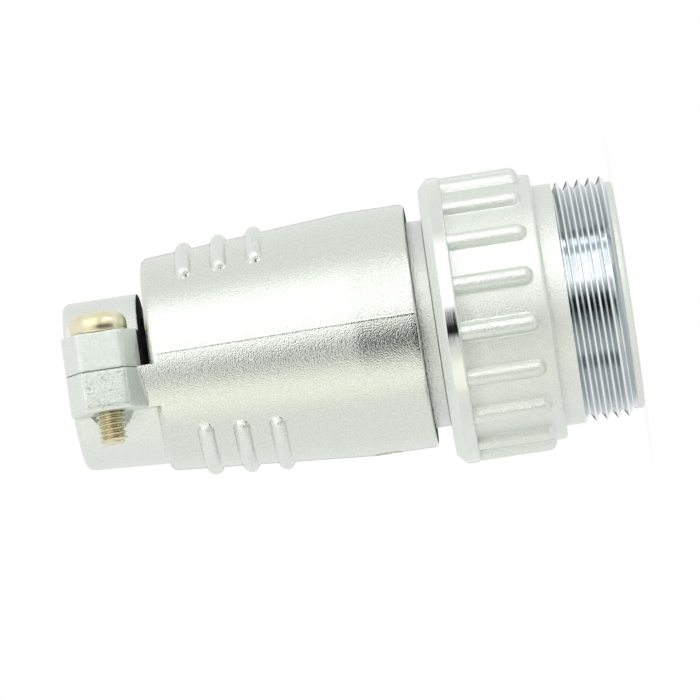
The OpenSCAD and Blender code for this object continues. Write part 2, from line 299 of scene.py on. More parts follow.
class Lathe:
    """Rows of points round the axis.

    A row's seam is the row that its last column joins: itself, or on a helix the row one pitch further up.
    """

    def __init__(self, angles):
        self.angles = np.asarray(angles)
        self.rows = []
        self.seams = []

    def row(self, r, z, seam=None):
        ones = np.ones_like(self.angles)
        self.seams.append(len(self.rows) if seam is None else seam)
        self.rows.append((r * ones, z * ones))

    def path(self, points):
        for r, z in points:
            self.row(r, z)

    def thread(self, start, end, pitch, radius_at, crest):
        """Rows along a right-hand helix with a crest at a height. radius_at(depth share, z) gives the radius."""
        first = len(self.rows)
        steps = len(TOOTH_SHARES)
        turns = int(math.ceil((end - crest) / pitch)) + 1
        last = turns * steps
        turned = self.angles / (2 * math.pi)
        for k in range(last + 1):
            z = np.clip(crest + pitch * (k // steps + TOOTH_SHARES[k % steps] - 1 + turned), start, end)
            depth = tooth_depth(((z - crest) / pitch - turned) % 1)
            self.row(radius_at(depth, z), z, first + min(k + steps, last))

    def mesh(self, name, closed):
        """The mesh in metres. A closed loop of rows makes a ring, and an open one ends on the axis."""
        count, columns = len(self.rows), len(self.angles)
        r = np.array([row[0] for row in self.rows])
        z = np.array([row[1] for row in self.rows])
        points = np.stack([r * np.cos(self.angles), r * np.sin(self.angles), z], axis=-1)
        faces = []
        for k in range(count if closed else count - 1):
            upper = (k + 1) % count
            for j in range(columns):
                here, there = k * columns + j, upper * columns + j
                wraps = j + 1 == columns
                after = self.seams[k] * columns if wraps else here + 1
                beyond = self.seams[upper] * columns if wraps else there + 1
                faces.append((here, after, beyond, there))
        made = bpy.data.meshes.new(name)
        made.from_pydata((points.reshape(-1, 3) * MM).tolist(), [], faces)
        weld(made)
        return made


def tooth_depth(share):
    """Depth of a thread's groove at a share of its pitch: 0 on the round crest and 1 at the round root."""
    crest, root = TOOTH_SHARES[3], 0.5 - TOOTH_SHARES[4]
    slope = 1 / (0.5 - (crest + root) / 2)
    half = np.minimum(share, 1 - share)
    near_crest = slope * half**2 / (2 * crest)
    near_root = 1 - slope * (0.5 - half) ** 2 / (2 * root)
    flank = slope * (half - crest / 2)
    return np.where(half < crest, near_crest, np.where(half > 0.5 - root, near_root, flank))


def weld(mesh, distance=1e-7):
    """Joins points that lie together, and drops what has no area."""
    bm = bmesh.new()
    bm.from_mesh(mesh)
    bmesh.ops.remove_doubles(bm, verts=bm.verts, dist=distance)
    bmesh.ops.dissolve_degenerate(bm, edges=bm.edges, dist=distance)
    bm.to_mesh(mesh)
    bm.free()


def new_object(name, data):
    made = bpy.data.objects.new(name, data)
    bpy.context.scene.collection.objects.link(made)
    return made


def apply_modifiers(obj):
    """Bakes an object's modifiers into its mesh."""
    graph = bpy.context.evaluated_depsgraph_get()
    baked = bpy.data.meshes.new_from_object(obj.evaluated_get(graph))
    obj.modifiers.clear()
    obj.data = baked


def combine(obj, other_mesh, operation):
    """Joins an object with another mesh, cuts the other away from it, or keeps what both share."""
    other = new_object("other", other_mesh)
    modifier = obj.modifiers.new("combine", "BOOLEAN")
    modifier.operation = operation
    modifier.solver = "MANIFOLD"
    modifier.object = other
    apply_modifiers(obj)
    bpy.data.objects.remove(other)


def rod_mesh(radius, start, end, matrix):
    """A plain round cutter along its own +Z, placed by a matrix in millimetres."""
    lathe = Lathe(even_angles(ROD_COLUMNS))
    lathe.path([(0, start), (radius, start), (radius, end), (0, end)])
    made = lathe.mesh("rod", closed=False)
    place(made, matrix)
    return made


def block_mesh(low, high, bevel=0.0):
    """A box from corner to corner in millimetres, with its edges rounded by a bevel if one is given."""
    bm = bmesh.new()
    bmesh.ops.create_cube(bm, size=1)
    low, high = Vector(low), Vector(high)
    for v in bm.verts:
        v.co = Vector(a + (b - a) * (c + 0.5) for a, b, c in zip(low, high, v.co))
    if bevel:
        bmesh.ops.bevel(bm, geom=bm.edges[:], offset=bevel, segments=3, profile=0.5, affect="EDGES")
    bmesh.ops.scale(bm, vec=(MM, MM, MM), verts=bm.verts)
    made = bpy.data.meshes.new("block")
    bm.to_mesh(made)
    bm.free()
    return made


def place(mesh, matrix):
    """Moves a mesh in metres by a matrix whose shift is in millimetres."""
    moved = matrix.copy()
    moved.translation = matrix.translation * MM
    mesh.transform(moved)


def shade(obj, sharp_degrees=38):
    """Smooth shading that stays crisp at edges sharper than the given angle."""
    obj.data.polygons.foreach_set("use_smooth", [True] * len(obj.data.polygons))
    obj.data.set_sharp_from_angle(angle=math.radians(sharp_degrees))


def split_finishes(obj):
    """Keeps the shading of each finish apart, so that flat faces beside a round stay flat."""
    bm = bmesh.new()
    bm.from_mesh(obj.data)
    for edge in bm.edges:
        if len({face.material_index for face in edge.link_faces}) > 1:
            edge.smooth = False
    bm.to_mesh(obj.data)
    bm.free()


def set_materials(obj, *materials):
    obj.data.materials.clear()
    for material in materials:
        obj.data.materials.append(material)


def paint(obj, rule):
    """Gives each face the finish that rule(centres in mm, normals) returns for it."""
    count = len(obj.data.polygons)
    centres = np.zeros(count * 3)
    normals = np.zeros(count * 3)
    obj.data.polygons.foreach_get("center", centres)
    obj.data.polygons.foreach_get("normal", normals)
    kinds = rule(centres.reshape(-1, 3) / MM, normals.reshape(-1, 3))
    obj.data.polygons.foreach_set("material_index", kinds.astype(np.int32))


def softened(node, voxel, prepare=None):
    """A copy of a solid's mesh with the soft edges of a casting, made on a grid of that size."""
    bm = bmesh.new()
    bm.from_mesh(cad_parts[node].data)
    bmesh.ops.scale(bm, vec=(1 / MM,) * 3, verts=bm.verts)
    bmesh.ops.remove_doubles(bm, verts=bm.verts, dist=1e-4)
    if prepare:
        prepare(bm)
    mesh = bpy.data.meshes.new(node + "_soft")
    bm.to_mesh(mesh)
    bm.free()
    copy = new_object("copy", mesh)
    remesh = copy.modifiers.new("remesh", "REMESH")
    remesh.mode = "VOXEL"
    remesh.voxel_size = voxel
    smooth = copy.modifiers.new("smooth", "SMOOTH")
    smooth.factor = 0.5
    smooth.iterations = SOFT_ROUNDS
    apply_modifiers(copy)
    made = copy.data
    bpy.data.objects.remove(copy)
    made.transform(Matrix.Scale(MM, 4))
    return made


# Materials

def add_noise(tree, coordinates, size, detail, stretch=None):
    """Noise whose cells are about that many millimetres across."""
    node = tree.nodes.new("ShaderNodeTexNoise")
    node.inputs["Scale"].default_value = 1 / (size * MM)
    node.inputs["Detail"].default_value = detail
    if stretch:
        mapping = tree.nodes.new("ShaderNodeMapping")
        mapping.inputs["Scale"].default_value = stretch
        tree.links.new(coordinates, mapping.inputs["Vector"])
        coordinates = mapping.outputs["Vector"]
    tree.links.new(coordinates, node.inputs["Vector"])
    return node.outputs["Fac"]


def finish(name, colour, roughness, relief, metallic=1.0, specular=0.5):
    """A procedural material whose colour, roughness and relief follow a noise each.

    A noise is (size in mm, detail), with a stretch if it has one. colour is (noise, dark, light), with the ramp's
    places where they aren't the usual ones. roughness is (noise, low, high), and relief is (noise, depth in mm).
    """
    material = bpy.data.materials.new(name)
    material.use_nodes = True
    tree = material.node_tree
    shader = tree.nodes["Principled BSDF"]
    shader.inputs["Metallic"].default_value = metallic
    shader.inputs["Specular IOR Level"].default_value = specular
    coordinates = tree.nodes.new("ShaderNodeTexCoord").outputs["Object"]

    noise, dark, light, *places = colour
    ramp = tree.nodes.new("ShaderNodeValToRGB")
    for element, position, tone in zip(ramp.color_ramp.elements, places or (0.35, 0.65), (dark, light)):
        element.position = position
        element.color = (*tone, 1)
    tree.links.new(add_noise(tree, coordinates, *noise), ramp.inputs["Fac"])
    tree.links.new(ramp.outputs["Color"], shader.inputs["Base Color"])

    noise, low, high = roughness
    spread = tree.nodes.new("ShaderNodeMapRange")
    for socket, value in (("From Min", 0.3), ("From Max", 0.7), ("To Min", low), ("To Max", high)):
        spread.inputs[socket].default_value = value
    tree.links.new(add_noise(tree, coordinates, *noise), spread.inputs["Value"])
    tree.links.new(spread.outputs["Result"], shader.inputs["Roughness"])

    noise, depth = relief
    bump = tree.nodes.new("ShaderNodeBump")
    bump.inputs["Distance"].default_value = depth * MM
    tree.links.new(add_noise(tree, coordinates, *noise), bump.inputs["Height"])
    tree.links.new(bump.outputs["Normal"], shader.inputs["Normal"])
    return material


# Stretches that draw a noise out into lines round the axis, along a wire or pin, and into streaks
TURNING_LINES = (0.02, 0.02, 1)
WIRE_MARKS = (0.05, 0.05, 1)
PIN_MARKS = (0.1, 0.1, 1)
STREAKS = (1, 1, 0.6)

# Plated die casting with a fine blasted grain that breaks up its reflections
BRIGHT_CAST = finish(
    "bright_cast",
    colour=((0.13, 1), (0.62, 0.66, 0.605), (0.72, 0.76, 0.7)),
    roughness=((0.9, 3), 0.12, 0.17),
    relief=((0.125, 1), 0.028),
)
# The same plating over a coarser blast, which scatters more
PEARL_CAST = finish(
    "pearl_cast",
    colour=((0.13, 1), (0.715, 0.76, 0.71), (0.8, 0.84, 0.79)),
    roughness=((0.7, 3), 0.37, 0.45),
    relief=((0.12, 1), 0.055),
)
# The fixed lugs' outer flats, pitted by the mould
COARSE_CAST = finish(
    "coarse_cast",
    colour=((0.15, 2, STREAKS), (0.42, 0.46, 0.43), (0.7, 0.75, 0.7), 0.3, 0.44),
    roughness=((0.6, 3), 0.45, 0.6),
    relief=((0.18, 2, STREAKS), 0.047),
)
# The loose half's outer flats, smoother than the fixed ones
FLAT_CAST = finish(
    "flat_cast",
    colour=((0.2, 2), (0.68, 0.73, 0.68), (0.75, 0.8, 0.75)),
    roughness=((0.6, 3), 0.45, 0.55),
    relief=((0.13, 1), 0.025),
)
# Painted shade: near-black, barely reflecting colour on faces in the narrow gaps, at the neck and beside the loose
# clamp half, for the shade that falls in them
PAINTED_GAP_SHADE = finish(
    "painted_gap_shade",
    colour=((0.8, 3), (0.01, 0.0105, 0.011), (0.03, 0.031, 0.03)),
    roughness=((0.6, 3), 0.5, 0.7),
    relief=((0.3, 2), 0.02),
    metallic=0.0,
    specular=0.05,
)
# Machined band of the flange, with fine lines round the axis
TURNED_RIM = finish(
    "turned_rim",
    colour=((3.0, 3), (0.68, 0.71, 0.67), (0.73, 0.76, 0.71)),
    roughness=((0.8, 3), 0.06, 0.11),
    relief=((0.12, 2, TURNING_LINES), 0.0015),
)
# Burnished crests and roots of the coupling thread
THREAD_LAND = finish(
    "thread_land",
    colour=((3.0, 3), (0.78, 0.82, 0.81), (0.84, 0.87, 0.86)),
    roughness=((0.6, 3), 0.1, 0.16),
    relief=((0.1, 2, TURNING_LINES), 0.001),
)
# Cut flanks of the coupling thread, darker and a little bluer than the casting and the lands: the same metal with
# painted shade for the grooves
THREAD_FLANK_SHADE = finish(
    "thread_flank_shade",
    colour=((3.0, 3), (0.58, 0.62, 0.64), (0.63, 0.665, 0.68)),
    roughness=((0.6, 3), 0.06, 0.1),
    relief=((0.1, 2, TURNING_LINES), 0.001),
)
# Yellow passivated brass
BRASS = finish(
    "brass",
    colour=((1.2, 3), (0.71, 0.66, 0.45), (0.81, 0.77, 0.58)),
    roughness=((0.5, 3), 0.26, 0.34),
    relief=((0.2, 2), 0.006),
)
# Painted shade: darker brass on the flanks of the screws' threads, for the shade in their grooves
BRASS_FLANK_SHADE = finish(
    "brass_flank_shade",
    colour=((0.8, 3), (0.6, 0.56, 0.41), (0.7, 0.66, 0.51)),
    roughness=((0.5, 3), 0.2, 0.3),
    relief=((0.2, 2), 0.004),
)
# Dark moulding with a fine matt grain
INSULATOR = finish(
    "insulator_plastic",
    colour=((1.5, 4), (0.016, 0.016, 0.018), (0.03, 0.03, 0.033)),
    roughness=((0.5, 3), 0.42, 0.58),
    relief=((0.15, 2), 0.006),
    metallic=0.0,
)
# Drawn spring steel with marks along the wire
SPRING_WIRE = finish(
    "spring_wire",
    colour=((1.0, 3), (0.4, 0.41, 0.42), (0.52, 0.53, 0.54)),
    roughness=((0.4, 3), 0.22, 0.36),
    relief=((0.1, 2, WIRE_MARKS), 0.002),
)
# Silver plating with a warm tarnish
PLATED_PIN = finish(
    "plated_pin",
    colour=((1.2, 4), (0.68, 0.62, 0.5), (0.8, 0.77, 0.7)),
    roughness=((0.4, 3), 0.14, 0.26),
    relief=((0.1, 2, PIN_MARKS), 0.001),
)


# Front casting: coupling thread, collar, fluted grip, flange and neck

PEARL, TURNED, LAND, FLANK_SHADE = range(4)


def front_casting():
    lathe = Lathe(rib_angles())
    add_coupling(lathe)
    add_grip(lathe)
    add_neck_and_socket(lathe)
    mesh = lathe.mesh("front_casting", closed=True)
    mesh.transform(Matrix.Rotation(RIB_TURN - RIB_HALF_PITCH, 4, "Z"))
    made = new_object("front_casting", mesh)
    set_materials(made, PEARL_CAST, TURNED_RIM, THREAD_LAND, THREAD_FLANK_SHADE)
    key_low = (SOCKET_R - KEY_H, -KEY_W / 2, KEY_START)
    key_high = (SOCKET_R + KEY_SINK, KEY_W / 2, SOCKET_DEPTH + KEY_SINK)
    combine(made, block_mesh(key_low, key_high, KEY_BEVEL), "UNION")
    combine(made, set_screw_cutter(), "DIFFERENCE")
    paint(made, front_finishes)
    shade(made)
    split_finishes(made)
    return made


def rib_angles():
    """Columns round the grip, closest at the ribs' flanks."""
    flank = np.array(RIB_FLANK) / FLUTE_R
    one_side = np.concatenate([
        np.linspace(0, flank[0], 3)[:-1],
        np.linspace(flank[0], flank[1], 7)[:-1],
        np.linspace(flank[1], RIB_HALF_PITCH, 3),
    ])
    one_rib = np.concatenate([-one_side[:0:-1], one_side[:-1]])
    whole = np.concatenate([one_rib + 2 * RIB_HALF_PITCH * k for k in range(RIB_COUNT)])
    return whole - whole[0]


def add_coupling(lathe):
    """Rows from the mating face over the thread to the collar's end."""
    def thread_radius(depth, z):
        lead = LIP_R + (z - LIP_LEN) / math.tan(LEAD_ANGLE)
        return np.minimum(lead, THREAD_R - THREAD_DEPTH * depth)

    lathe.row(SOCKET_R + RIM_BEVEL, 0)
    lathe.path(arc((LIP_R - LIP_ROUND, LIP_ROUND), LIP_ROUND, -90, 0))
    lathe.row(LIP_R, LIP_LEN - CLOSE_ROW)
    lathe.thread(LIP_LEN, THREAD_END, THREAD_PITCH, thread_radius, CREST_HEIGHT)
    lathe.path([(THREAD_R, THREAD_END + CLOSE_ROW), (THREAD_R, COLLAR_END - COLLAR_FILLET)])
    lathe.row(THREAD_R + COLLAR_FILLET, COLLAR_END)


def grip_radius(angles, z):
    """Outside of the grip at a height: the flutes' radius, raised by ribs with round front ends."""
    from_rib = turn_between(angles * RIB_COUNT, 0) / RIB_COUNT * FLUTE_R
    rib_start = COLLAR_END + RIB_SETBACK + RIB_R
    distance = np.hypot(from_rib, max(rib_start - z, 0))
    centre = GRIP_R - RIB_DROP - RIB_R
    return smooth_max(centre + rib_top(distance, RIB_R), FLUTE_R, RIB_FILLET)


def add_grip(lathe):
    """Rows over the ribs and the flange, which the ribs run into."""
    lathe.row(FLUTE_R - GRIP_EDGE - EDGE_ROW, COLLAR_END)
    lathe.path(arc((FLUTE_R - GRIP_EDGE, COLLAR_END + GRIP_EDGE), GRIP_EDGE, -90, 0))
    angles = lathe.angles - RIB_HALF_PITCH
    rib_tip = COLLAR_END + RIB_SETBACK
    tip_heights = np.linspace(rib_tip - RIB_LEAD, rib_tip + RIB_R, RIB_TIP_ROWS)
    side_heights = np.linspace(rib_tip + RIB_R, FLANGE_START - NEAR_ROW, RIB_SIDE_ROWS)[1:]
    for z in (*tip_heights, *side_heights):
        lathe.row(grip_radius(angles, z), z)
    top = grip_radius(angles, FLANGE_START)
    lathe.row(np.maximum(top, FLUTE_R + FLANGE_ROOT), FLANGE_START)
    lathe.row(np.maximum(top, GRIP_R - FLANGE_EDGE), FLANGE_START)
    lathe.path(arc((GRIP_R - FLANGE_EDGE, RIM_START), FLANGE_EDGE, -60, 0, 3))
    lathe.path([(GRIP_R, RIM_START + CLOSE_ROW), (GRIP_R, RIM_END - NEAR_ROW)])
    corner = FLANGE_EDGE * math.tan(math.radians(22.5))
    lathe.path(arc((GRIP_R - FLANGE_EDGE, RIM_END - corner), FLANGE_EDGE, 0, 45, 4))
    lathe.path(arc((GRIP_R - FLANGE_BEVEL - corner, FLANGE_END - FLANGE_EDGE), FLANGE_EDGE, 45, 90, 4))


def add_neck_and_socket(lathe):
    """Rows over the neck and back through the insert's seat and the mating socket."""
    lathe.path([(NECK_R + NECK_FILLET, FLANGE_END), (NECK_R, FLANGE_END + NECK_FILLET)])
    lathe.path([(NECK_R, NECK_END - NECK_BEVEL), (NECK_R - NECK_BEVEL, NECK_END), (INSERT_R, NECK_END)])
    lathe.path([(INSERT_R, GROOVE_END), (GROOVE_R, GROOVE_END)])
    lathe.path([(GROOVE_R, GROOVE_START), (INSERT_R, GROOVE_START)])
    lathe.path([(INSERT_R, SEAT_END), (SEAT_R, SEAT_END)])
    lathe.path([(SEAT_R, SOCKET_DEPTH), (SOCKET_R, SOCKET_DEPTH), (SOCKET_R, RIM_BEVEL)])


def is_flank(depth):
    """Whether a thread's face at a share of its depth lies on a flank."""
    return (depth > FLANK_SHARES[0]) & (depth < FLANK_SHARES[1])


def front_finishes(centres, normals):
    """The thread's lands and its flanks in painted shade, the turned flange rim, and pearl elsewhere."""
    kinds = np.full(len(centres), PEARL, int)
    x, y, z = centres.T
    radial = np.hypot(x, y)
    thread = (radial > SOCKET_R + SOCKET_BAND) & (z > LIP_LEN) & (z < THREAD_END)
    kinds[thread] = LAND
    # Painted shade: the thread's flanks get a darker copy of the lands' metal
    kinds[thread & is_flank((THREAD_R - radial) / THREAD_DEPTH)] = FLANK_SHADE
    kinds[(radial > GRIP_R - RIM_BAND) & (z > RIM_START) & (z < RIM_END)] = TURNED
    return kinds


def set_screw_cutter():
    """The set screw's hole, from outside the shell to the screw's tip."""
    centre = Vector((0, 0, (set_low[2] + set_high[2]) / 2))
    outwards = Matrix.Translation(centre) @ Matrix.Rotation(math.radians(-90), 4, "Y")
    return rod_mesh(SET_HOLE_R, -set_high[0], GRIP_R, outwards)


# Rear casting: tapered shell with ridges, parting line and the fixed half of the clamp

BRIGHT, INNER, COARSE, PAINTED_NECK_SHADE = range(4)


def shell_radius(z):
    taper = (SHELL_REAR_R - SHELL_FRONT_R) / (SHELL_END - BARREL_END)
    return SHELL_FRONT_R + taper * np.maximum(z - BARREL_END, 0)


def shell_surface(angles, z):
    """Outside of the tapered shell at a height, with its ridges and the raised parting line."""
    base = shell_radius(z)
    surface = base * np.ones_like(angles)
    for centre in RIDGE_HEIGHTS:
        for side in (0, math.pi):
            past_end = np.maximum(np.abs(turn_between(angles, side)) - RIDGE_HALF_SPAN, 0) * base
            distance = np.hypot(z - centre, past_end)
            ridge = base + RIDGE_H - RIDGE_R + rib_top(distance, RIDGE_R)
            surface = smooth_max(ridge, surface, RIDGE_FILLET)
    for side in (-math.pi / 2, math.pi / 2):
        across = turn_between(angles, side) * base
        wave = math.sin(PARTING_WAVES[0] * z) * math.sin(PARTING_WAVES[1] * z + side)
        uneven = 1 - PARTING_UNEVEN + PARTING_UNEVEN * wave
        surface = surface + PARTING_H * uneven * np.exp(-(across / PARTING_W) ** 2)
    return surface


def shell_heights():
    """Rows along the shell, closest at the ridges."""
    plain = np.linspace(SHELL_START + FRONT_ROUND, SHELL_END - REAR_ROUND, SHELL_ROWS)
    ridges = [centre + np.linspace(-RIDGE_REACH, RIDGE_REACH, RIDGE_ROWS) for centre in RIDGE_HEIGHTS]
    return np.unique(np.round(np.concatenate([plain, *ridges]), 2))


def shell_angles():
    """Columns round the shell, closest at the ridges' ends and at the parting lines."""
    ends = [(s * RIDGE_HALF_SPAN + side, math.radians(4), 3) for s in (-1, 1) for side in (0, math.pi)]
    lines = [(s * math.radians(90), math.radians(1.2), 12) for s in (-1, 1)]
    return spread_angles(SHELL_COLUMNS, ends + lines)


def rear_casting():
    lathe = Lathe(shell_angles())
    lathe.row(BORE_R, SHELL_START)
    lathe.path(arc((SHELL_FRONT_R - FRONT_ROUND, SHELL_START + FRONT_ROUND), FRONT_ROUND, -90, -15))
    for z in shell_heights():
        lathe.row(shell_surface(lathe.angles, z), z)
    rear_r = shell_radius(SHELL_END - REAR_ROUND)
    lathe.path(arc((rear_r - REAR_ROUND, SHELL_END - REAR_ROUND), REAR_ROUND, 12, 90, 6))
    lathe.path([(CABLE_R, SHELL_END), (CABLE_R, CAVITY_END)])
    cavity_r = shell_radius(CAVITY_END) - SHELL_WALL
    lathe.path(arc((cavity_r - CAVITY_ROUND, CAVITY_END - CAVITY_ROUND), CAVITY_ROUND, 90, 0))
    lathe.path([(shell_radius(BORE_END) - SHELL_WALL, BORE_END), (BORE_R, BORE_END)])
    made = new_object("rear_casting", lathe.mesh("rear_casting", closed=True))
    set_materials(made, BRIGHT_CAST, PEARL_CAST, COARSE_CAST, PAINTED_GAP_SHADE)
    combine(made, softened("rear_shell", REAR_GRID, keep_clamp), "UNION")
    combine(made, web_mesh(), "UNION")
    for side in (-1, 1):
        combine(made, spot_face(side), "DIFFERENCE")
    combine(made, set_screw_cutter(), "DIFFERENCE")
    paint(made, rear_finishes)
    shade(made)
    return made


def keep_clamp(bm):
    """Cuts the shell away from the fixed clamp half, and sinks the cut end into the shell's rear wall."""
    everything = bm.verts[:] + bm.edges[:] + bm.faces[:]
    cut = bmesh.ops.bisect_plane(
        bm, geom=everything, dist=1e-5, plane_co=(0, 0, CLAMP_CUT), plane_no=(0, 0, 1), clear_inner=True
    )
    edges = [e for e in cut["geom_cut"] if isinstance(e, bmesh.types.BMEdge)]
    bmesh.ops.holes_fill(bm, edges=edges, sides=0)
    for v in bm.verts:
        if abs(v.co.z - CLAMP_CUT) < 1e-3:
            v.co.z = CLAMP_ROOT


def web_mesh():
    """Metal that fills the corner between the shell's rear edge and the fixed lugs, flush with the shell."""
    start, end = SHELL_END - WEB_SINK, SCREW_Z - LUG_FACE_HALF
    lathe = Lathe(even_angles(WEB_COLUMNS))
    outer = [(shell_radius(z) + WEB_FLUSH, z) for z in np.linspace(start, end, WEB_ROWS)]
    lathe.path([(WEB_R, start), *outer, (WEB_R, end)])
    web = new_object("web", lathe.mesh("web", closed=True))
    low = (LUG_FOOT_X, -LUG_Y, start - CUT_MARGIN)
    high = (SPLIT_X, LUG_Y, end + CUT_MARGIN)
    combine(web, block_mesh(low, high), "INTERSECT")
    made = web.data
    bpy.data.objects.remove(web)
    return made


def spot_face(side):
    """Cutter for the round flat behind a fixed lug, where the screw's tip comes out."""
    seat = Vector((LUG_FOOT_X, side * SCREW_Y, SCREW_Z))
    outwards = Matrix.Translation(seat) @ Matrix.Rotation(math.radians(-90), 4, "Y")
    return rod_mesh(SPOT_R, 0, SPOT_DEPTH, outwards)


def rear_finishes(centres, normals):
    """Bright outside, pearl on the clamp, ridges and inside, coarse on the lugs' flats, painted shade on the front
    face over the neck's gap.
    """
    kinds = np.full(len(centres), BRIGHT, int)
    x, y, z = centres.T
    radial = np.hypot(x, y)
    over_cone = radial - shell_radius(z)
    kinds[((radial < BORE_R) & (z < SHELL_END)) | (z > SHELL_END + CLAMP_BAND)] = INNER
    kinds[np.abs(over_cone - WEB_FLUSH) < WEB_BAND] = BRIGHT
    kinds[(z < SHELL_END - REAR_ROUND) & (over_cone > RIDGE_BAND)] = INNER
    kinds[np.abs(y) > LUG_Y - LUG_FLAT] = COARSE
    # Painted shade: the downward front face over the narrow gap at the neck is made near-black
    kinds[(radial > BORE_R) & (z < SHELL_START + FRONT_ROUND) & (normals[:, 2] < FACING_DOWN)] = PAINTED_NECK_SHADE
    return kinds


# Loose half of the clamp

SADDLE_PEARL, SADDLE_FLAT, SADDLE_PAINTED_SHADE = range(3)


def saddle_casting():
    made = new_object("saddle_casting", softened("clamp_saddle", SADDLE_GRID))
    set_materials(made, PEARL_CAST, FLAT_CAST, PAINTED_GAP_SHADE)
    paint(made, saddle_finishes)
    shade(made)
    return made


def saddle_finishes(centres, normals):
    """Pearl, with its own finish on the lugs' flats, and painted shade over the narrow gap and where the cable hole
    starts.
    """
    kinds = np.full(len(centres), SADDLE_PEARL, int)
    x, y, z = centres.T
    in_hole = np.hypot(x, y) < CABLE_R + HOLE_BAND
    kinds[np.abs(y) > LUG_Y - LUG_FLAT] = SADDLE_FLAT
    # Painted shade: the front face over the gap and the start of the cable hole are made near-black
    kinds[z < SADDLE_START + np.where(in_hole, SHADE_DEPTH_IN_HOLE, SHADE_DEPTH_ON_FACE)] = SADDLE_PAINTED_SHADE
    return kinds


# Clamp screws

def clamp_screw(name, side):
    """A pan-head screw along +X, with its thread and its cross recess."""
    def thread_radius(depth, z):
        lead = TIP_R + (z + SCREW_LEN)
        fade = np.clip(-z / SCREW_PITCH, 0, 1)
        return np.minimum(lead, SCREW_R - SCREW_DEPTH * depth * fade)

    lathe = Lathe(even_angles(SCREW_COLUMNS))
    lathe.path([(0, -SCREW_LEN), (TIP_R, -SCREW_LEN)])
    thread_start = -SCREW_LEN + SCREW_LEAD
    lathe.thread(thread_start, 0, SCREW_PITCH, thread_radius, thread_start)
    lathe.path([(HEAD_R - HEAD_EDGE, 0), (HEAD_R, HEAD_EDGE)])
    shoulder_r = HEAD_R - HEAD_SHOULDER
    shoulder_z = HEAD_H - HEAD_DOME - HEAD_SHOULDER
    lathe.path(arc((shoulder_r, shoulder_z), HEAD_SHOULDER, 0, 78, 10))
    for share in (0.75, 0.5, 0.25, 0):
        lathe.row(shoulder_r * share, HEAD_H - HEAD_DOME * share**2)
    made = new_object(name, lathe.mesh(name, closed=False))
    for turn in (0, 90):
        low = (-RECESS_LEN / 2, -RECESS_W / 2, HEAD_H - RECESS_DEPTH)
        high = (RECESS_LEN / 2, RECESS_W / 2, HEAD_H + CUT_MARGIN)
        cutter = block_mesh(low, high)
        cutter.transform(Matrix.Rotation(math.radians(turn), 4, "Z"))
        combine(made, cutter, "DIFFERENCE")
    set_materials(made, BRASS, BRASS_FLANK_SHADE)
    paint(made, screw_finishes)
    shade(made, sharp_degrees=50)
    split_finishes(made)
    seat = Vector((SCREW_X, side * SCREW_Y, SCREW_Z))
    place(made.data, Matrix.Translation(seat) @ Matrix.Rotation(math.radians(90), 4, "Y"))
    return made


def screw_finishes(centres, normals):
    """Brass, with painted shade on the thread's flanks."""
    x, y, z = centres.T
    depth = (SCREW_R - np.hypot(x, y)) / SCREW_DEPTH
    # Painted shade: the thread's flanks get the darker copy of the brass
    return ((z < 0) & (z > PLAIN_TIP - SCREW_LEN) & is_flank(depth)).astype(int)


def build_pieces():
    for made, node, body, slot in (
        (front_casting(), "front_shell", "shell", "satin_chrome"),
        (rear_casting(), "rear_shell", "shell", "satin_chrome"),
        (saddle_casting(), "clamp_saddle", "saddle", "satin_chrome"),
        (clamp_screw("screw_left", -1), "clamp_screw_left", "left_screw", "brass_screw"),
        (clamp_screw("screw_right", 1), "clamp_screw_right", "right_screw", "brass_screw"),
    ):
        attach(made, body)
        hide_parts(node)


def dress_nodes():
    """Finishes for the solids whose own shape stays."""
    finishes = {"set_screw": BRASS, "front_insulator": INSULATOR, "rear_insulator": INSULATOR,
                "retaining_ring": SPRING_WIRE}
    finishes.update({f"contact_{k}": PLATED_PIN for k in range(1, 5)})
    for node, material in finishes.items():
        set_materials(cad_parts[node], material)


# Stage, light and camera

def camera_axes():
    """Directions for a level view across the axis: picture-up, back to the camera, and up square to the axis."""
    back = Vector((-math.sin(CAMERA_TURN), -math.cos(CAMERA_TURN), 0))
    across = Vector((math.cos(CAMERA_TURN), -math.sin(CAMERA_TURN), 0))
    up = Vector((0, 0, -1)) * math.sin(AXIS_RISE) + across * math.cos(AXIS_RISE)
    return up, back, across


def add_camera():
    up, back, across = camera_axes()
    target = across * -TARGET_DROP + Vector((0, 0, TARGET_HEIGHT))
    place_at = across * -TARGET_DROP + back * CAMERA_DISTANCE + Vector((0, 0, CAMERA_HEIGHT))
    toward = (place_at - target).normalized()
    side = up.cross(toward).normalized()
    matrix = Matrix((side, toward.cross(side), toward)).transposed().to_4x4()
    matrix.translation = place_at * MM
    data = bpy.data.cameras.new("camera")
    data.sensor_width = SENSOR
    data.lens = SCALE_PX_PER_MM * CAMERA_DISTANCE * SENSOR / IMAGE_PX
    data.clip_start = 0.01
    data.clip_end = 20
    made = new_object("camera", data)
    made.matrix_world = matrix
    bpy.context.scene.camera = made


def math_node(tree, operation, *values):
    """A maths node fed by sockets or numbers."""
    node = tree.nodes.new("ShaderNodeMath")
    node.operation = operation
    for k, value in enumerate(values):
        if isinstance(value, (int, float)):
            node.inputs[k].default_value = value
        else:
            tree.links.new(value, node.inputs[k])
    return node.outputs[0]


def soft_step(tree, value, start, end, low=0.0, high=1.0):
    """Eases from low to high as a value goes from start to end."""
    node = tree.nodes.new("ShaderNodeMapRange")
    node.interpolation_type = "SMOOTHSTEP"
    for name, number in (("From Min", start), ("From Max", end), ("To Min", low), ("To Max", high)):
        node.inputs[name].default_value = number
    tree.links.new(value, node.inputs["Value"])
    return node.outputs["Result"]


